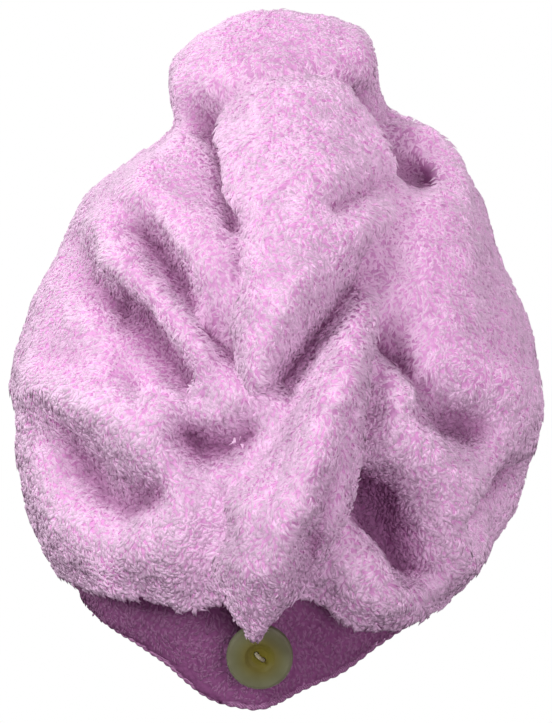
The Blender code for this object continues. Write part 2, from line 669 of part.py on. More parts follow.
def new_material(name, colour, roughness):
    material = bpy.data.materials.new(name)
    material.use_nodes = True
    shader = material.node_tree.nodes["Principled BSDF"]
    shader.inputs["Base Color"].default_value = (*colour, 1.0)
    shader.inputs["Roughness"].default_value = roughness
    shader.inputs["Metallic"].default_value = 0.0
    return material


def main():
    clear_scene()
    terry = new_material("terry", (0.84, 0.58, 0.80), 0.95)
    elastic = new_material("elastic", (0.62, 0.38, 0.58), 0.85)
    plastic = new_material("button_plastic", (0.13, 0.12, 0.07), 0.35)
    thread = new_material("thread", (0.42, 0.40, 0.26), 0.80)

    turban = bpy.data.objects.new("turban", None)
    bpy.context.scene.collection.objects.link(turban)
    turban.location = (0.0, 0.0, -SEAT_UP)
    make_hood(terry, turban)
    make_tail(terry, turban)
    place = button_place()
    make_loop(elastic, turban, place)
    make_button(plastic, turban, place)
    make_thread(thread, turban, place)


main()
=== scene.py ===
# Looks of the hair turban towel: cloth with folds and creases, its terry loops, the sewn hem, the
# elastic loop, and the button with its thread. Metres, in the same frame as the solids.

import math
from collections import namedtuple

import bpy
import numpy as np
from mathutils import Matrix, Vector, noise
from mathutils.bvhtree import BVHTree


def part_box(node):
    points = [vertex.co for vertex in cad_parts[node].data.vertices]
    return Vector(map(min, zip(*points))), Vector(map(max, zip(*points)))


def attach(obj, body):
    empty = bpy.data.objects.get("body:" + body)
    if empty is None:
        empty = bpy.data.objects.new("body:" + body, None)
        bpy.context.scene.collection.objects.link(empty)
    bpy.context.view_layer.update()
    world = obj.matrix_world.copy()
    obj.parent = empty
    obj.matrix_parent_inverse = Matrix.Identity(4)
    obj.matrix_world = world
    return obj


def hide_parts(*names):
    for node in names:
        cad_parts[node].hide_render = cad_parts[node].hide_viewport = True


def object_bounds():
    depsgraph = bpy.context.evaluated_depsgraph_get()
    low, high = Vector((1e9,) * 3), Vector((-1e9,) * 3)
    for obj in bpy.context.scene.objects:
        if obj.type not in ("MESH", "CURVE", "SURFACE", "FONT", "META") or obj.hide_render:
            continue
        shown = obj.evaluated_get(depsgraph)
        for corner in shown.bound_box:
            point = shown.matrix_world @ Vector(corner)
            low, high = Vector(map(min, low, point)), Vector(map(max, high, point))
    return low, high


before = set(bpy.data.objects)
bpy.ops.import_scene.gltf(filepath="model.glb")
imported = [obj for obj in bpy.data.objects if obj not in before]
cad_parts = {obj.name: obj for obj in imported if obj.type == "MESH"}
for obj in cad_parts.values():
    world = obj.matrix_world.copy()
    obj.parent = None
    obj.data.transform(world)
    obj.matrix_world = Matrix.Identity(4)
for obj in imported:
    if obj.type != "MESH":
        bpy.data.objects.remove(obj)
CAD_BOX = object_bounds()
HOOD_LOW, HOOD_HIGH = (np.array(corner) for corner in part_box("hood"))
HEIGHT = HOOD_HIGH[2] - HOOD_LOW[2]
HALF_WIDTH = 0.1125
HEM_Z = HOOD_LOW[2]

# Plan of the hood, and where its band and lip lie
BACK_DEPTH = 0.119
FRONT_DEPTH = 0.109
PLAN_POWER = 2.2
Rim = namedtuple("Rim", "degrees hem lip")  # angle round the head, heights as shares of HEIGHT
RIM = (
    Rim(-180, 0.340, 0.375),
    Rim(-135, 0.255, 0.290),
    Rim(-90, 0.157, 0.190),
    Rim(-42, 0.088, 0.162),
    Rim(-18, 0.019, 0.153),
    Rim(-4, 0.000, 0.165),
    Rim(8, 0.033, 0.166),
    Rim(22, 0.051, 0.117),
    Rim(42, 0.086, 0.111),
    Rim(90, 0.157, 0.180),
    Rim(135, 0.255, 0.290),
    Rim(180, 0.340, 0.375),
)
BAND_REACH = {"back": 0.82, "left": 0.80, "right": 0.70, "front": 0.92}  # band inside these shares
BAND_BEHIND_LIP = 0.016  # how far the band goes on upwards behind the lip

# Cloth
HOOD_VOXEL = 0.0026
TAIL_VOXEL = 0.0022
HOOD_LUMPS = 0.0014
TAIL_LUMPS = 0.0012
LUMP_SIZE = 0.024
SMALL_LUMP_SIZE = 0.011
EVEN_PASSES = 14
SOFTEN_PASSES = 4
DRAW_IN = 0.50
PUSH_OUT = 0.52
FACES_BACK = (-0.10, 0.35)  # the hood's folds set in between these shares of facing backwards
# Painted shade: creases are coloured darker the deeper the cloth lies below its ironed-out form
HOLLOW_PASSES = 60
HOLLOW_DEPTH = 0.006
BAND_PAINTED_SHADOW = 0.98  # painted shadow: the band is coloured as if it lay in the shade of the lip

# Terry loops: each is two rings of three points and a tip
LOOP_SPACING = 0.00140
LOOP_LENGTH = 0.0036
LOOP_RADIUS = 0.00056
LOOP_RISE = 0.0016
LOOP_RINGS = ((0.0, 0.50), (0.50, 1.20))  # share of the length, share of the radius
LOOP_POINTS = 7
ROOT_DEPTH = 0.0005
ARCH = 2.2  # radians of the sine wave that a loop's rise follows
LONGER = (0.70, 1.30)  # the shortest and longest loops, as shares of the length
TALLER = (0.65, 1.35)
THICKER = (0.8, 1.25)
SIDEWAYS = 0.35  # how far loops bend to one side, as a share of their length
COMBED_TURNS = ((1.7, 0.036, 31), (1.3, 0.011, 32))  # radians, size of an area in metres, seed
STRAYING = 0.55  # radians
CLUSTER_SIZE = 0.0055
MAT_SIZE = 0.013
MATTING = 0.35  # how much longer and taller the loops are in a mat or a cluster
RING_SHADE = 0.55  # place of the second ring in the loop's colours, from root to tip
OWN_SHADE = 0.30
CLUSTER_SHADE = 0.45
CELL_MARGIN = 0.1  # share of a loop's cell in the UV map that stays free at each side
SPLIT_Z = -0.085  # the crown's back is covered by two piles above this height and two below
LOW_LOOPS = {"radius": 0.00078, "length": 0.0042, "blend": 0.33, "mottle": 0.62}
FRONT_LOOPS = {"spacing": 0.0021, "radius": 0.0007, "length": 0.0044}
BAND_LOOPS = {"spacing": 0.0017, "length": 0.0030, "rise": 0.0007}
TAIL_LOOPS = {"spacing": 0.00145, "radius": 0.00070, "length": 0.0042, "blend": 0.38, "mottle": 0.62}
OFF_HOOD = 0.35  # cloth of the tail that faces the hood more than this gets no loops

# Hem
HEM_BARE = 0.003
HEM_PITCH = 0.0045
HEM_COLUMNS = 180
HEM_WINDOW = 4.0  # degrees to each side in which the lowest cloth is looked for
HEM_EDGE = 0.006
HEM_RAISE = 0.0015
HEM_PASSES = 12  # rounding off the line before it is laid on the cloth
LAID_PASSES = 2  # and after that
STITCH_STEPS = 8
CORD_RADIUS = 0.0013
CORD_SWELL = 0.0006
CORD_FLATNESS = 0.9
CORD_SIDES = 10
UNEVEN_STITCHES = (1.5, 61.0)  # radians of shift, radians a metre along the hem

# Folds seen from behind. Points are shares of HALF_WIDTH across and of HEIGHT above the nape hem.
# Along a line, the cloth on its left stands up by left over left_width, and that on its right by
# right over right_width (millimetres; minus goes in). Left is as one walks from the first point.
# soft is how gradually one side passes into the other.
Stroke = namedtuple("Stroke", "name points left left_width right right_width soft")
HOOD_STROKES = (
    # knot, middle and left side
    Stroke("knot_roll", ((-0.30, 0.895), (-0.15, 0.905), (0.0, 0.925), (0.15, 0.935), (0.30, 0.935)),
           5, 12, 6, 8, 4),
    Stroke("knot_crease", ((-0.335, 0.93), (-0.30, 0.87), (-0.27, 0.83)), -3, 6, -4, 6, 2),
    Stroke("under_flap", ((0.25, 0.61), (0.107, 0.537), (0.04, 0.500)), -15, 14, -15, 14, 5),
    Stroke("meets_flap", ((-0.20, 0.66), (-0.17, 0.56), (-0.15, 0.46)), 5, 10, 5, 13, 4),
    Stroke("beside_tail", ((-0.205, 0.835), (-0.187, 0.782), (-0.183, 0.76), (-0.153, 0.726), (-0.16, 0.69)),
           -6, 5, -6, 7, 2),
    Stroke("panel_valley", ((-0.51, 0.700), (-0.40, 0.652), (-0.317, 0.606), (-0.21, 0.556), (-0.15, 0.52)),
           -9, 7, -14, 10, 4),
    Stroke("panel_crest", ((-0.46, 0.735), (-0.36, 0.69), (-0.26, 0.645), (-0.17, 0.59)), 4, 10, 5, 8, 4),
    Stroke("middle_valley",
           ((-0.645, 0.596), (-0.542, 0.565), (-0.473, 0.529), (-0.385, 0.491), (-0.30, 0.47)),
           -12, 9, -15, 12, 5),
    Stroke("middle_crest", ((-0.60, 0.64), (-0.47, 0.60), (-0.36, 0.555), (-0.25, 0.51)), 3, 9, 4, 8, 4),
    Stroke("rim_crease", ((-0.79, 0.667), (-0.74, 0.593), (-0.67, 0.509), (-0.60, 0.473)),
           -9, 11, -3, 7, 4),
    Stroke("belly_arc",
           ((-0.93, 0.432), (-0.84, 0.385), (-0.74, 0.341), (-0.67, 0.309), (-0.59, 0.290), (-0.48, 0.309)),
           -7, 9, -6, 8, 4),
    Stroke("converging", ((-0.34, 0.40), (-0.26, 0.385), (-0.18, 0.385), (-0.12, 0.40)), -11, 9, -12, 8, 3),
    Stroke("lobe_valley", ((-0.28, 0.36), (-0.22, 0.31), (-0.20, 0.26)), -3, 7, -2, 8, 3),
    Stroke("lobe_meets_tail", ((-0.21, 0.33), (-0.19, 0.25), (-0.18, 0.19)), 4, 9, 5, 10, 4),
    # right side
    Stroke("shoulder_pocket", ((0.38, 0.855), (0.47, 0.825), (0.56, 0.80)), -13, 13, -13, 14, 4),
    Stroke("right_valley", ((0.37, 0.562), (0.50, 0.517), (0.595, 0.477)), -4, 10, -11, 9, 3),
    Stroke("right_dent", ((0.56, 0.425), (0.69, 0.412), (0.77, 0.405)), -6, 8, -6, 8, 3),
    Stroke("edge_crease", ((0.93, 0.34), (0.87, 0.30), (0.80, 0.262)), -23, 9, -14, 8, 3),
    Stroke("beside_strand",
           ((0.332, 0.473), (0.324, 0.425), (0.305, 0.385), (0.29, 0.348), (0.298, 0.316)),
           -6, 6, -10, 8, 2),
    Stroke("puff_top", ((0.27, 0.225), (0.35, 0.205), (0.45, 0.165)), 5, 11, 4, 14, 4),
    Stroke("pocket_slope", ((0.38, 0.33), (0.48, 0.265), (0.57, 0.21)), -4, 14, -4, 12, 4),
    Stroke("deep_pocket", ((0.298, 0.316), (0.408, 0.257), (0.52, 0.195)), -18, 8, -8, 8, 3),
)
TAIL_STROKES = (
    Stroke("root", ((-0.24, 0.900), (-0.115, 0.898), (0.0, 0.912), (0.10, 0.920), (0.28, 0.925)),
           -16, 12, -14, 8, 3),
    Stroke("flap_edge", ((-0.19, 0.66), (-0.16, 0.56), (-0.15, 0.46)), -6, 8, -8, 9, 3),
    Stroke("crossing",
           ((0.435, 0.685), (0.347, 0.655), (0.23, 0.600), (0.107, 0.537), (0.0, 0.490), (-0.11, 0.39)),
           -18, 14, -4, 11, 4),
    Stroke("flap_roll", ((0.40, 0.67), (0.23, 0.600), (0.107, 0.537), (0.0, 0.490)), -10, 26, -7, 10, 4),
    Stroke("flap_mid", ((0.12, 0.66), (0.0, 0.615), (-0.06, 0.56)), -5, 10, -4, 9, 4),
    Stroke("flap_dent", ((0.23, 0.715), (0.34, 0.735), (0.44, 0.755)), -16, 9, -14, 9, 3),
    Stroke("tip_crease", ((0.122, 0.253), (0.130, 0.20), (0.11, 0.147)), -9, 6, -9, 7, 2),
    Stroke("strand_fold", ((0.28, 0.42), (0.20, 0.30), (0.13, 0.20)), -3, 5, -6, 7, 2),
    Stroke("tip_shade", ((-0.06, 0.17), (-0.09, 0.12)), -4, 8, -5, 8, 2),
    Stroke("edge_tuck", ((-0.08, 0.43), (-0.13, 0.39), (-0.17, 0.345)), -13, 10, -14, 10, 4),
)

# Places where the lip's edge stands higher; radius and rise in metres
Lift = namedtuple("Lift", "across up radius rise")
LIFTS = (
    Lift(0.42, 0.085, 0.020, 0.008),
    Lift(0.62, 0.120, 0.020, 0.005),
    Lift(-0.50, 0.155, 0.020, 0.004),
    Lift(-0.75, 0.175, 0.018, 0.004),
)

# Lower end of the tail
TIP = (-0.085, 0.095)  # over the button, as shares of HALF_WIDTH and HEIGHT
TIP_REACH = 0.12  # the tail narrows over this share of HEIGHT
TIP_SQUEEZE = 0.55
TIP_RAISE = 0.0045
SWAYS = ((0.0025, 31.0, 0.0), (0.0015, 73.0, 1.0))  # of the left edge: metres, radians a HEIGHT, start
SWAY_EDGE = -0.026  # the sway fades out from this x to the middle

# Room and camera
WHITE = (1.0, 1.0, 1.0)
PINK_FILL = (1.0, 0.86, 0.98)
PINK_ROOM = (1.0, 0.76, 0.96)  # as if thrown back by the cloth
ROOM_STRENGTH = 0.16
MIDDLE = (np.array(CAD_BOX[0]) + np.array(CAD_BOX[1])) / 2
FLOOR_DROP = 0.80
FLOOR_REACH = 12.0
FLOOR_SIDES = 96
FLOOR_SUN = 2.2
Lamp = namedtuple("Lamp", "name place size watts spread colour")
LAMPS = (
    Lamp("key", (-1.30, -1.22, 0.68), 0.55, 4.9, 90, WHITE),
    Lamp("fill", (0.60, -1.45, -0.15), 0.8, 1.5, 60, PINK_FILL),
    Lamp("front_left", (-0.9, 0.8, 0.9), 1.0, 3.0, 60, WHITE),
    Lamp("front_right", (0.9, 0.9, 0.7), 1.0, 2.5, 60, WHITE),
)
PIXEL = 0.00043
PIXEL_PLANE = 0.03  # a pixel has that size this far in front of the origin
PHOTO_HEIGHT = 723  # pixels
NAPE_ROW = 709  # the lowest point of the nape hem, in pixels from the top
CAMERA_DISTANCE = 4.0


# Reading and writing meshes
def values_of(items, field, width, kind=np.float64):
    flat = np.empty(len(items) * width, dtype=kind)
    items.foreach_get(field, flat)
    return flat.reshape(-1, width)


def points_of(mesh):
    return values_of(mesh.vertices, "co", 3)


def normals_of(mesh):
    return values_of(mesh.vertices, "normal", 3)


def edges_of(mesh):
    return values_of(mesh.edges, "vertices", 2, np.int64)


def set_points(mesh, points):
    mesh.vertices.foreach_set("co", points.ravel())
    mesh.update()


def in_scene(name, data):
    obj = bpy.data.objects.new(name, data)
    bpy.context.scene.collection.objects.link(obj)
    return obj


# Places on the hood
def at(across, up):
    """Place seen from behind, as (x, z) in metres."""
    return across * HALF_WIDTH, HEM_Z + up * HEIGHT


def around(root):
    """Angle round the head in degrees: 0 at the nape, 90 on the right, 180 at the forehead."""
    depth = np.where(root[:, 1] < 0, BACK_DEPTH, FRONT_DEPTH)
    return np.degrees(np.arctan2(root[:, 0] / HALF_WIDTH, -root[:, 1] / depth))


def rim_height(degrees, edge):
    """Height of the hem or the lip at an angle round the head."""
    shares = [getattr(row, edge) for row in RIM]
    return HEM_Z + HEIGHT * np.interp(degrees, [row.degrees for row in RIM], shares)


def away_from_axis(root, normal):
    """More than 0 where a surface faces out of the hood."""
    from_axis = root * np.array([1.0, 1.0, 0.0]) + np.array([0.0, 0.0, 0.02])
    return (normal * from_axis).sum(axis=1)


def on_band(root, normal):
    """The band round the head: below the lip and inside it."""
    x, y, z = root.T
    across = np.abs(x) / HALF_WIDTH
    along = np.abs(y) / np.where(y < 0, BACK_DEPTH, FRONT_DEPTH)
    reach = (across**PLAN_POWER + along**PLAN_POWER) ** (1 / PLAN_POWER)
    sideways = across**2 / np.maximum(across**2 + along**2, 1e-9)
    at_side = np.where(x < 0, BAND_REACH["left"], BAND_REACH["right"])
    at_end = np.where(y < 0, BAND_REACH["back"], BAND_REACH["front"])
    inside = reach < at_side * sideways + at_end * (1 - sideways)
    low_enough = z < rim_height(around(root), "lip") + BAND_BEHIND_LIP
    return (away_from_axis(root, normal) > 0) & low_enough & inside


# Cloth
def cad_copy(node, voxel):
    """Dense, even copy of a solid of the frame."""
    obj = in_scene(node + "_cloth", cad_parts[node].data.copy())
    remesh = obj.modifiers.new("remesh", "REMESH")
    remesh.mode = "VOXEL"
    remesh.voxel_size = voxel
    depsgraph = bpy.context.evaluated_depsgraph_get()
    mesh = bpy.data.meshes.new_from_object(obj.evaluated_get(depsgraph))
    obj.modifiers.clear()
    obj.data = mesh
    return obj


def neighbour_mean(points, edges):
    """For each point, the mean of the points that an edge joins to it."""
    count = len(points)
    degree = np.bincount(edges.ravel(), minlength=count)[:, None]
    total = np.zeros_like(points)
    for axis in range(3):
        column = points[:, axis]
        total[:, axis] += np.bincount(edges[:, 0], weights=column[edges[:, 1]], minlength=count)
        total[:, axis] += np.bincount(edges[:, 1], weights=column[edges[:, 0]], minlength=count)
    return total / degree


def smoothed(points, edges, passes):
    """Even out a mesh without shrinking it: passes that draw in and push out by turns."""
    for k in range(passes):
        pull = DRAW_IN if k % 2 == 0 else -PUSH_OUT
        points = points + (neighbour_mean(points, edges) - points) * pull
    return points


def spread_out(points, edges, passes):
    """The cloth with its folds ironed out."""
    for _ in range(passes):
        points = (points + neighbour_mean(points, edges)) / 2
    return points


def smooth_step(value, start, end):
    share = np.clip((value - start) / (end - start), 0.0, 1.0)
    return share * share * (3.0 - 2.0 * share)


def noise_at(points, scale, seed):
    """Smooth noise from -1 to 1 with bumps of about scale metres."""
    offset = Vector((seed * 7.31, seed * 3.17, seed * 5.73))
    return np.array([noise.noise(Vector(p) / scale + offset) for p in points])


def stroke_height(x, z, stroke):
    """How far one stroke lifts or sinks the cloth at each (x, z)."""
    points = [at(*point) for point in stroke.points]
    best = np.full(x.shape, np.inf)
    side = np.zeros(x.shape)
    for (x0, z0), (x1, z1) in zip(points, points[1:]):
        dx, dz = x1 - x0, z1 - z0
        along = np.clip(((x - x0) * dx + (z - z0) * dz) / (dx * dx + dz * dz), 0.0, 1.0)
        off_x, off_z = x - x0 - along * dx, z - z0 - along * dz
        distance = np.hypot(off_x, off_z)
        signed = distance * np.sign(dx * off_z - dz * off_x)
        closer = distance < best
        side = np.where(closer, signed, side)
        best = np.where(closer, distance, best)
    left = 0.001 * stroke.left * np.exp(-((best / (0.001 * stroke.left_width)) ** 2))
    right = 0.001 * stroke.right * np.exp(-((best / (0.001 * stroke.right_width)) ** 2))
    soft = 0.001 * stroke.soft
    to_left = smooth_step(side, -soft, soft)
    return left * to_left + right * (1.0 - to_left)


def fold_height(points, strokes):
    """All strokes together, as a column."""
    return sum(stroke_height(points[:, 0], points[:, 2], stroke) for stroke in strokes)[:, None]


def lifted(points):
    """Raise parts of the lip's edge, a few millimetres each."""
    for lift in LIFTS:
        x, z = at(lift.across, lift.up)
        share = np.exp(-((points[:, 0] - x) ** 2 + (points[:, 2] - z) ** 2) / lift.radius**2)
        points = points + np.array([0.0, 0.0, lift.rise]) * (share * (points[:, 1] < 0))[:, None]
    return points


def pointed(points):
    """Squeeze the tail's lower end towards the tip over the button, and let its left edge sway."""
    tip_x = at(*TIP)[0]
    up = (points[:, 2] - HEM_Z) / HEIGHT
    near_tip = 1.0 - smooth_step(up, TIP[1], TIP[1] + TIP_REACH)
    width = 1.0 - TIP_SQUEEZE * near_tip
    sway = sum(reach * np.sin(up * radians + start) for reach, radians, start in SWAYS)
    sway = sway * (1.0 - smooth_step(points[:, 0], SWAY_EDGE, 0.0))
    x = tip_x + (points[:, 0] - tip_x) * width + sway
    return np.stack([x, points[:, 1], points[:, 2] + TIP_RAISE * near_tip], axis=-1)


def hood_folds(points, normals):
    """How the folds move the hood's cloth, and which way is out. Both its sides move the same way."""
    outward = normals * np.sign(away_from_axis(points, normals))[:, None]
    at_back = smooth_step(-outward[:, 1], *FACES_BACK)[:, None]
    return fold_height(points, HOOD_STROKES) * outward * at_back, outward


def tail_folds(points, normals):
    """The same for the tail, whose back goes along with its front into the hood's cloth."""
    return fold_height(points, TAIL_STROKES) * np.array([0.0, -1.0, 0.0]), normals


def mark_painted_shade(mesh, edges):
    """Vertex value for painted shade: 0.5 on level cloth, up to 1 in the bottom of a crease and down to 0 on
    a crest; the band gets a fixed high value as the lip's painted shadow.
    """
    points, normals = points_of(mesh), normals_of(mesh)
    depth = ((spread_out(points, edges, HOLLOW_PASSES) - points) * normals).sum(axis=1)
    hollow = np.clip(0.5 + 0.5 * depth / HOLLOW_DEPTH, 0.0, 1.0)
    # painted shadow of the lip: the band is darkened as if it lay in a deep crease
    hollow = np.where(on_band(points, normals), BAND_PAINTED_SHADOW, hollow)
    mesh.attributes.new("hollow", "FLOAT", "POINT").data.foreach_set("value", hollow)


def shaped_cloth(node, voxel, lumps, placed, folded):
    """The visible cloth of a node: its solid, evened out, with its folds and lumps."""
    obj = cad_copy(node, voxel)
    mesh = obj.data
    edges = edges_of(mesh)
    points = placed(smoothed(points_of(mesh), edges, EVEN_PASSES))
    set_points(mesh, points)
    moved, outward = folded(points, normals_of(mesh))
    rough = lumps * noise_at(points, LUMP_SIZE, 1) + 0.5 * lumps * noise_at(points, SMALL_LUMP_SIZE, 2)
    points = points + moved + outward * rough[:, None]
    set_points(mesh, smoothed(points, edges, SOFTEN_PASSES))
    mark_painted_shade(mesh, edges)
    return obj


# Terry loops
def scattered(mesh, spacing, rng):
    """Evenly spread random points on a mesh, with their normals and how hollow the cloth is there."""
    mesh.calc_loop_triangles()
    corners = values_of(mesh.loop_triangles, "vertices", 3, np.int64)
    vertex, vertex_normal = points_of(mesh), normals_of(mesh)
    vertex_hollow = values_of(mesh.attributes["hollow"].data, "value", 1)[:, 0]
    a, b, c = (vertex[corners[:, k]] for k in range(3))
    total = np.cumsum(np.linalg.norm(np.cross(b - a, c - a), axis=1) / 2) / spacing**2
    picks = np.arange(0.5, total[-1], 1.0)
    picks += rng.uniform(-0.45, 0.45, len(picks))
    face = np.clip(np.searchsorted(total, picks), 0, len(total) - 1)
    u, v = rng.random(len(face)), rng.random(len(face))
    flip = u + v > 1
    u[flip], v[flip] = 1 - u[flip], 1 - v[flip]
    shares = np.stack([1 - u - v, u, v], axis=-1)
    root = (vertex[corners[face]] * shares[:, :, None]).sum(axis=1)
    normal = (vertex_normal[corners[face]] * shares[:, :, None]).sum(axis=1)
    hollow = (vertex_hollow[corners[face]] * shares).sum(axis=1)
    return root, normal / np.linalg.norm(normal, axis=1, keepdims=True), hollow


def combing(root, normal, rng):
    """The way that each loop lies along the cloth, mostly down, and the direction across it."""
    upward = np.array([0.0, 0.0, 1.0]) - normal * normal[:, 2:3]
    upward /= np.maximum(np.linalg.norm(upward, axis=1, keepdims=True), 1e-6)
    across = np.cross(upward, normal)
    turn = -math.pi / 2
    for radians, size, seed in COMBED_TURNS:
        turn = turn + radians * noise_at(root, size, seed)
    turn += rng.normal(0.0, STRAYING, len(root))
    combed = upward * np.sin(turn)[:, None] + across * np.cos(turn)[:, None]
    return combed, np.cross(normal, combed)


def loop_middle(root, normal, combed, side, long, tall, bend, share):
    """Middle line of the loops at a share of their length: they rise, then lie over."""
    out = tall * (math.sin(share * ARCH) * 1.05 + 0.05 * share) - ROOT_DEPTH * (1.0 - share)
    along = long * share**1.3
    return root + normal * out[:, None] + combed * along[:, None] + side * (bend * share * share)[:, None]


def loop_faces():
    """Corners of one loop's nine triangles, and where each lies in the loop's cell of the UV map."""
    corners, places = [], []
    for j in range(3):
        i = (j + 1) % 3
        low, high = (j / 3, 0.0), (j / 3, RING_SHADE)
        next_low, next_high = ((j + 1) / 3, 0.0), ((j + 1) / 3, RING_SHADE)
        tip = ((j + 0.5) / 3, 1.0)
        corners += [(j, i, 3 + i), (j, 3 + i, 3 + j), (3 + j, 3 + i, 6)]
        places += [(low, next_low, next_high), (low, next_high, high), (high, next_high, tip)]
    return np.array(corners), CELL_MARGIN + (1.0 - 2.0 * CELL_MARGIN) * np.array(places)


def loop_mesh(name, vertices):
    """Mesh of all the loops, whose UV map gives each a square cell."""
    count = len(vertices)
    cells = math.ceil(math.sqrt(count))
    corners, places = loop_faces()
    faces = (corners[None, :, :] + LOOP_POINTS * np.arange(count)[:, None, None]).reshape(-1, 3)
    cell = np.stack([np.arange(count) % cells, np.arange(count) // cells], axis=-1)
    uv = (places[None] + cell[:, None, None, :]) / cells

    pile = bpy.data.meshes.new(name)
    pile.vertices.add(count * LOOP_POINTS)
    pile.vertices.foreach_set("co", vertices.ravel())
    pile.loops.add(len(faces) * 3)
    pile.loops.foreach_set("vertex_index", faces.ravel())
    pile.polygons.add(len(faces))
    pile.polygons.foreach_set("loop_start", np.arange(0, len(faces) * 3, 3))
    pile.polygons.foreach_set("use_smooth", np.ones(len(faces), dtype=bool))
    pile.update(calc_edges=True)
    pile.uv_layers.new(name="OFBake").data.foreach_set("uv", uv.ravel())
    return pile


def mark_loops(pile, shade, hollow):
    """Vertex colour: from root to tip in red, each loop's own shade in green, hollow in blue; red and blue
    drive the painted shade.
    """
    tips = np.tile([0.0, 0.0, 0.0, RING_SHADE, RING_SHADE, RING_SHADE, 1.0], (len(shade), 1))
    shades = np.repeat(shade[:, None], LOOP_POINTS, axis=1)
    hollows = np.repeat(hollow[:, None], LOOP_POINTS, axis=1)
    values = np.stack([tips, shades, hollows, np.ones_like(tips)], axis=-1)
    pile.attributes.new("pile", "FLOAT_COLOR", "POINT").data.foreach_set("color", values.ravel())


def pile_on(name, cloth, keep, seed, spacing=LOOP_SPACING, radius=LOOP_RADIUS, length=LOOP_LENGTH,
            rise=LOOP_RISE, blend=0.40, mottle=0.42):
    """Terry loops over a cloth, one mesh. keep takes (points, normals) and says which places get a loop.

    blend is how far a loop's shading follows the cloth under it, mottle how much their colour varies.
    """
    rng = np.random.default_rng(seed)
    root, normal, hollow = scattered(cloth.data, spacing, rng)
    kept = keep(root, normal)
    root, normal, hollow = root[kept], normal[kept], hollow[kept]
    count = len(root)
    combed, side = combing(root, normal, rng)

    cluster = noise_at(root, CLUSTER_SIZE, 34)
    matted = 1.0 + MATTING * noise_at(root, MAT_SIZE, 33) + MATTING * cluster
    long = length * rng.uniform(*LONGER, count) * matted
    tall = rise * rng.uniform(*TALLER, count) * matted
    thick = radius * rng.uniform(*THICKER, count)
    bend = long * rng.normal(0.0, SIDEWAYS, count)
    vertices, facing = [], []
    for share, wide in LOOP_RINGS:
        middle = loop_middle(root, normal, combed, side, long, tall, bend, share)
        for j in range(3):
            angle = 2 * math.pi * j / 3 + math.pi / 6
            offset = side * math.cos(angle) + (normal * 0.9 - combed * 0.4 * share) * math.sin(angle)
            vertices.append(middle + offset * (thick * wide)[:, None])
            facing.append(offset * (1.0 - blend) + normal * blend)
    vertices.append(loop_middle(root, normal, combed, side, long, tall, bend, 1.0))
    facing.append(combed * (1.0 - blend) + normal * blend)
    facing = np.stack(facing, axis=1)
    facing /= np.linalg.norm(facing, axis=2, keepdims=True)

    pile = loop_mesh(name, np.stack(vertices, axis=1))
    varied = OWN_SHADE * rng.uniform(-1.0, 1.0, count) + CLUSTER_SHADE * cluster
    mark_loops(pile, 0.5 + mottle * varied, hollow)
    pile.normals_split_custom_set_from_vertices(facing.reshape(-1, 3))
    obj = in_scene(name, pile)
    obj.visible_shadow = False  # real loops let most light through, so they shade little
    return obj


def band_above_hem(root, normal):
    return on_band(root, normal) & (root[:, 2] > rim_height(around(root), "hem") + HEM_BARE)


def crown(root, normal):
    return (away_from_axis(root, normal) > 0) & ~on_band(root, normal)


def crown_front(root, normal):
    return crown(root, normal) & (root[:, 1] >= 0)


def crown_back(is_high, is_right):
    """Picks one of the four quarters of the crown's back."""
    def quarter(root, normal):
        at_height = (root[:, 2] >= SPLIT_Z) == is_high
        at_side = (root[:, 0] >= 0) == is_right
        return crown(root, normal) & (root[:, 1] < 0) & at_height & at_side
    return quarter


def off_the_hood(root, normal):
    """The tail's front and sides; its back lies in the hood's cloth."""
    return normal[:, 1] < OFF_HOOD


# Hem
def rounded_off(line, passes):
    """A closed line with each place drawn towards its neighbours."""
    for _ in range(passes):
        line = (np.roll(line, 1, axis=0) + 2.0 * line + np.roll(line, -1, axis=0)) / 4.0
    return line


def hem_line(cloth):
    """The hood's lower edge all round, one place for each column, on the cloth."""
    points = points_of(cloth.data)
    degrees = around(points)
    above = points[:, 2] - rim_height(degrees, "hem")
    line = []
    for k in range(HEM_COLUMNS):
        column = 360.0 * k / HEM_COLUMNS
        near = np.abs((degrees - column + 180.0) % 360.0 - 180.0) < HEM_WINDOW
        lowest = above[near].min()
        edge = near & (above < lowest + HEM_EDGE)
        height = rim_height((column + 180.0) % 360.0 - 180.0, "hem") + lowest + HEM_RAISE
        line.append((*points[edge, :2].mean(axis=0), height))
    line = rounded_off(np.array(line), HEM_PASSES)
    surface = BVHTree.FromPolygons(points.tolist(), [face.vertices[:] for face in cloth.data.polygons])
    return rounded_off(np.array([surface.find_nearest(place)[0] for place in line]), LAID_PASSES)


def tube_faces(count, sides):
    """Four-cornered faces of a closed tube of count rings."""
    faces = []
    for i in range(count):
        row, next_row = sides * i, sides * ((i + 1) % count)
        for j in range(sides):
            k = (j + 1) % sides
            faces.append((row + j, next_row + j, next_row + k, row + k))
    return faces


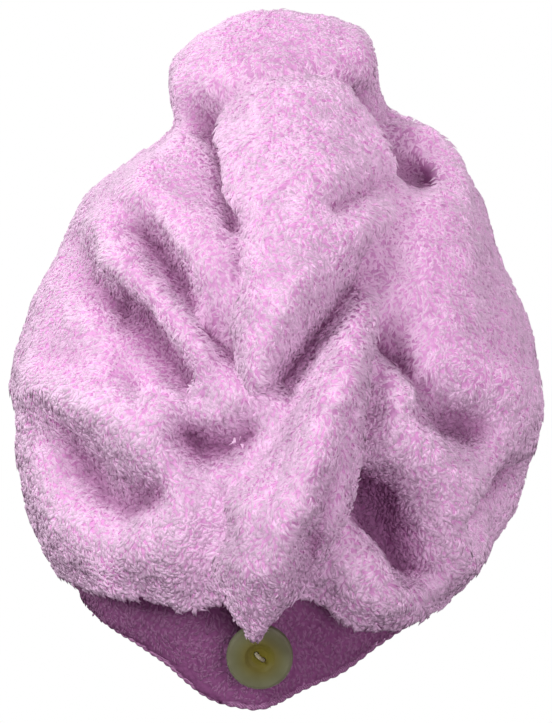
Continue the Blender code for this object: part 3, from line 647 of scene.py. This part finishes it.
def overlocked_hem(cloth):
    """Overlock stitches round the hem: a cord that swells and thins once for each stitch."""
    line = hem_line(cloth)
    closed = np.vstack([line, line[:1]])
    run = np.concatenate([[0.0], np.cumsum(np.linalg.norm(np.diff(closed, axis=0), axis=1))])
    count = round(run[-1] / HEM_PITCH) * STITCH_STEPS
    steps = np.linspace(0.0, run[-1], count, endpoint=False)
    centre = np.stack([np.interp(steps, run, closed[:, axis]) for axis in range(3)], axis=-1)
    along = np.roll(centre, -1, axis=0) - np.roll(centre, 1, axis=0)
    along /= np.linalg.norm(along, axis=1, keepdims=True)
    out = centre * np.array([1.0, 1.0, 0.0])
    out -= along * (out * along).sum(axis=1, keepdims=True)
    out /= np.linalg.norm(out, axis=1, keepdims=True)
    down = np.cross(along, out)

    shift, waves = UNEVEN_STITCHES
    swell = np.abs(np.sin(math.pi * steps / HEM_PITCH + shift * np.sin(steps * waves)))
    radius = (CORD_RADIUS + CORD_SWELL * swell)[:, None]
    rings = []
    for j in range(CORD_SIDES):
        angle = 2 * math.pi * j / CORD_SIDES
        rings.append(centre + (out * math.cos(angle) * CORD_FLATNESS + down * math.sin(angle)) * radius)
    points = np.stack(rings, axis=1).reshape(-1, 3)
    mesh = bpy.data.meshes.new("hem")
    mesh.from_pydata([tuple(p) for p in points], [], tube_faces(count, CORD_SIDES))
    mesh.update()
    return in_scene("hem", mesh)


# Materials
def nodes_of(name, roughness, specular=0.5):
    material = bpy.data.materials.new(name)
    material.use_nodes = True
    tree = material.node_tree
    shader = tree.nodes["Principled BSDF"]
    shader.inputs["Roughness"].default_value = roughness
    shader.inputs["Specular IOR Level"].default_value = specular
    return material, tree, shader


def add(tree, kind, **values):
    node = tree.nodes.new(kind)
    for key, value in values.items():
        setattr(node, key, value)
    return node


def ramp(tree, share, stops):
    """Colours along a share from 0 to 1."""
    node = add(tree, "ShaderNodeValToRGB")
    elements = node.color_ramp.elements
    while len(elements) < len(stops):
        elements.new(0.5)
    for element, (position, colour) in zip(elements, stops):
        element.position = position
        element.color = (*colour, 1.0)
    tree.links.new(share, node.inputs["Fac"])
    return node.outputs["Color"]


def multiplied(tree, colour, tint, factor=1.0):
    mix = add(tree, "ShaderNodeMix", data_type="RGBA", blend_type="MULTIPLY")
    mix.inputs["Factor"].default_value = factor
    tree.links.new(colour, mix.inputs["A"])
    tree.links.new(tint, mix.inputs["B"])
    return mix.outputs["Result"]


def cloudy(tree, scale, detail):
    """Soft noise that stays with the object."""
    place = add(tree, "ShaderNodeTexCoord")
    cloud = add(tree, "ShaderNodeTexNoise")
    cloud.inputs["Scale"].default_value = scale
    cloud.inputs["Detail"].default_value = detail
    tree.links.new(place.outputs["Object"], cloud.inputs["Vector"])
    return cloud.outputs["Fac"]


def bumped(tree, shader, height, distance, strength=1.0, invert=False):
    bump = add(tree, "ShaderNodeBump", invert=invert)
    bump.inputs["Distance"].default_value = distance
    bump.inputs["Strength"].default_value = strength
    tree.links.new(height, bump.inputs["Height"])
    tree.links.new(bump.outputs["Normal"], shader.inputs["Normal"])


def painted_crease_shade(tree, hollow, colour):
    """Painted shade: colour that gets darker and stronger in creases and on the band under the lip, and
    stays paler on crests.
    """
    # painted shade, deepest where the crease value is highest
    tint = ramp(tree, hollow, (
        (0.15, (1.0, 1.0, 1.0)),
        (0.50, (0.94, 0.91, 0.94)),
        (0.80, (0.62, 0.46, 0.59)),
        (1.0, (0.34, 0.20, 0.31)),
    ))
    return multiplied(tree, colour, tint)


def pile_material():
    """Cotton loops: darker and stronger coloured towards the root as painted shade down among the loops,
    pale at the tip, each with its own random tone, and with painted shade in creases.
    """
    material, tree, shader = nodes_of("terry_loops", roughness=0.9, specular=0.0)
    attribute = add(tree, "ShaderNodeAttribute", attribute_name="pile")
    split = add(tree, "ShaderNodeSeparateColor")
    tree.links.new(attribute.outputs["Color"], split.inputs["Color"])
    # painted shade: loops darken towards the root, where they would lie in one another's shade
    colours = ramp(tree, split.outputs["Red"], (
        (0.0, (0.68, 0.38, 0.62)),
        (0.35, (0.90, 0.64, 0.85)),
        (1.0, (1.0, 0.815, 0.965)),
    ))
    vary = add(tree, "ShaderNodeMapRange")
    vary.inputs["To Min"].default_value = 0.73
    vary.inputs["To Max"].default_value = 1.20
    tree.links.new(split.outputs["Green"], vary.inputs["Value"])
    shaded = add(tree, "ShaderNodeHueSaturation")
    tree.links.new(vary.outputs["Result"], shaded.inputs["Value"])
    tree.links.new(painted_crease_shade(tree, split.outputs["Blue"], colours), shaded.inputs["Color"])
    tree.links.new(shaded.outputs["Color"], shader.inputs["Base Color"])
    return material


def ground_material():
    """The woven ground under the loops, with a fine loop bump where no loops are modelled; its colour is
    painted shade, darker than the loops as deep in the pile and darkest in the dips between the bump's
    cells.
    """
    material, tree, shader = nodes_of("terry_ground", roughness=0.95, specular=0.0)
    place = add(tree, "ShaderNodeTexCoord")
    cells = add(tree, "ShaderNodeTexVoronoi")
    cells.inputs["Scale"].default_value = 420.0
    tree.links.new(place.outputs["Object"], cells.inputs["Vector"])
    # painted shade: darker and stronger coloured in the dips between the bump's cells
    colours = ramp(tree, cells.outputs["Distance"], (
        (0.0, (0.86, 0.54, 0.80)),
        (0.6, (0.76, 0.44, 0.70)),
        (1.0, (0.62, 0.33, 0.57)),
    ))
    shade = ramp(tree, cloudy(tree, 60.0, 4.0), ((0.3, (0.7, 0.6, 0.7)), (0.7, (1.0, 1.0, 1.0))))
    hollow = add(tree, "ShaderNodeAttribute", attribute_name="hollow")
    tinted = painted_crease_shade(tree, hollow.outputs["Fac"], multiplied(tree, colours, shade, 0.35))
    tree.links.new(tinted, shader.inputs["Base Color"])
    bumped(tree, shader, cells.outputs["Distance"], 0.0007, strength=0.6, invert=True)
    return material


def button_material():
    """Clouded olive plastic: greyish green at the rim, deep yellow olive in the dished middle."""
    material, tree, shader = nodes_of("button_olive", roughness=0.55, specular=0.25)
    place = add(tree, "ShaderNodeTexCoord")
    off = add(tree, "ShaderNodeVectorMath", operation="DISTANCE")
    low_corner, high_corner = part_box("button")
    off.inputs[1].default_value = [(a + b) / 2 for a, b in zip(low_corner, high_corner)]
    tree.links.new(place.outputs["Object"], off.inputs[0])
    share = add(tree, "ShaderNodeMapRange")
    share.inputs["From Max"].default_value = 0.0145
    tree.links.new(off.outputs["Value"], share.inputs["Value"])
    rings = ramp(tree, share.outputs["Result"], (
        (0.15, (0.130, 0.115, 0.002)),
        (0.45, (0.135, 0.125, 0.020)),
        (0.75, (0.150, 0.165, 0.075)),
        (1.0, (0.170, 0.180, 0.110)),
    ))
    clouds = ramp(tree, cloudy(tree, 160.0, 3.0), ((0.35, (0.86, 0.86, 0.80)), (0.65, (1.0, 1.0, 1.0))))
    tree.links.new(multiplied(tree, rings, clouds), shader.inputs["Base Color"])
    return material


def thread_material(name, light, dark, pitch):
    """Twisted or covered cord: fine slanted ribs."""
    material, tree, shader = nodes_of(name, roughness=0.75)
    place = add(tree, "ShaderNodeTexCoord")
    wave = add(tree, "ShaderNodeTexWave", bands_direction="DIAGONAL")
    wave.inputs["Scale"].default_value = pitch
    wave.inputs["Distortion"].default_value = 1.0
    tree.links.new(place.outputs["Object"], wave.inputs["Vector"])
    colours = ramp(tree, wave.outputs["Fac"], ((0.0, dark), (1.0, light)))
    tree.links.new(colours, shader.inputs["Base Color"])
    bumped(tree, shader, wave.outputs["Fac"], 0.0003)
    return material


def dress(obj, material):
    """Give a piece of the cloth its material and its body."""
    obj.data.materials.clear()
    obj.data.materials.append(material)
    obj.data.shade_smooth()
    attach(obj, "root")


# Room, light and camera
def lay_floor():
    """Pale round floor well below the turban, which hangs in the air as on a head."""
    angles = [math.radians(360) * k / FLOOR_SIDES for k in range(FLOOR_SIDES)]
    z = CAD_BOX[0][2] - FLOOR_DROP
    rim = [(FLOOR_REACH * math.cos(a), FLOOR_REACH * math.sin(a), z) for a in angles]
    mesh = bpy.data.meshes.new("floor")
    mesh.from_pydata(rim, [], [tuple(range(FLOOR_SIDES))])
    material, _, shader = nodes_of("floor_white", roughness=0.9)
    shader.inputs["Base Color"].default_value = (0.92, 0.92, 0.92, 1.0)
    mesh.materials.append(material)
    floor = in_scene("floor", mesh)
    floor.visible_diffuse = False  # it throws no light up under the lip

    lit = bpy.data.collections.new("floor_only")
    lit.objects.link(floor)
    sun = in_scene("floor_light", bpy.data.lights.new("floor_light", "SUN"))
    sun.data.energy = FLOOR_SUN
    sun.light_linking.receiver_collection = lit


def hang_lamp(lamp):
    """Square lamp that points at the middle of the turban."""
    data = bpy.data.lights.new(lamp.name, "AREA")
    data.shape = "SQUARE"
    data.size = lamp.size
    data.energy = lamp.watts
    data.color = lamp.colour
    data.spread = math.radians(lamp.spread)
    light = in_scene(lamp.name, data)
    light.location = lamp.place
    light.rotation_euler = (Vector(MIDDLE) - Vector(lamp.place)).to_track_quat("-Z", "Y").to_euler()


def white_room():
    """Dim even light from all round, against a plain white background."""
    world = bpy.data.worlds.new("studio")
    bpy.context.scene.world = world
    world.use_nodes = True
    tree = world.node_tree
    light = tree.nodes["Background"]
    light.inputs["Color"].default_value = (*PINK_ROOM, 1.0)
    light.inputs["Strength"].default_value = ROOM_STRENGTH
    white = add(tree, "ShaderNodeBackground")
    white.inputs["Color"].default_value = (*WHITE, 1.0)
    path = add(tree, "ShaderNodeLightPath")
    mix = add(tree, "ShaderNodeMixShader")
    tree.links.new(path.outputs["Is Camera Ray"], mix.inputs["Fac"])
    tree.links.new(light.outputs["Background"], mix.inputs[1])
    tree.links.new(white.outputs["Background"], mix.inputs[2])
    tree.links.new(mix.outputs["Shader"], tree.nodes["World Output"].inputs["Surface"])
    bpy.context.scene.view_settings.view_transform = "Standard"


def look_from_behind():
    """Level camera behind the head, with the nape hem as low in the picture as in the photograph."""
    data = bpy.data.cameras.new("camera")
    camera = in_scene("camera", data)
    bpy.context.scene.camera = camera
    data.sensor_fit = "VERTICAL"
    data.sensor_height = 24.0
    data.lens = data.sensor_height * (CAMERA_DISTANCE - PIXEL_PLANE) / (PHOTO_HEIGHT * PIXEL)
    height = HEM_Z + (NAPE_ROW - PHOTO_HEIGHT / 2) * PIXEL
    camera.location = (0.0, -CAMERA_DISTANCE, height)
    camera.rotation_euler = (math.radians(90), 0.0, 0.0)


# The turban's cloth and its loops
ground = ground_material()
loops = pile_material()
hood = shaped_cloth("hood", HOOD_VOXEL, HOOD_LUMPS, lifted, hood_folds)
tail = shaped_cloth("tail", TAIL_VOXEL, TAIL_LUMPS, pointed, tail_folds)
for cloth, node in ((hood, "hood"), (tail, "tail")):
    dress(cloth, ground)
    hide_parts(node)

hood_piles = [
    pile_on("pile_low_left", hood, crown_back(is_high=False, is_right=False), seed=11, **LOW_LOOPS),
    pile_on("pile_low_right", hood, crown_back(is_high=False, is_right=True), seed=12, **LOW_LOOPS),
    pile_on("pile_high_left", hood, crown_back(is_high=True, is_right=False), seed=13),
    pile_on("pile_high_right", hood, crown_back(is_high=True, is_right=True), seed=14),
    pile_on("pile_front", hood, crown_front, seed=15, **FRONT_LOOPS),
    pile_on("pile_band", hood, band_above_hem, seed=16, **BAND_LOOPS),
]
tail_pile = pile_on("pile_tail", tail, off_the_hood, seed=17, **TAIL_LOOPS)
for pile in (*hood_piles, tail_pile):
    dress(pile, loops)

hem = overlocked_hem(hood)
dress(hem, thread_material("hem_thread", (0.50, 0.24, 0.44), (0.30, 0.12, 0.26), 500.0))

# The pieces that stay as they are in the solids
for node, material in (
    ("button", button_material()),
    ("button_thread", thread_material("button_thread", (0.52, 0.50, 0.33), (0.28, 0.26, 0.15), 700.0)),
    ("elastic_loop", thread_material("elastic_cover", (0.74, 0.47, 0.70), (0.42, 0.22, 0.39), 900.0)),
):
    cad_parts[node].data.materials[0] = material

lay_floor()
for lamp in LAMPS:
    hang_lamp(lamp)
white_room()
look_from_behind()
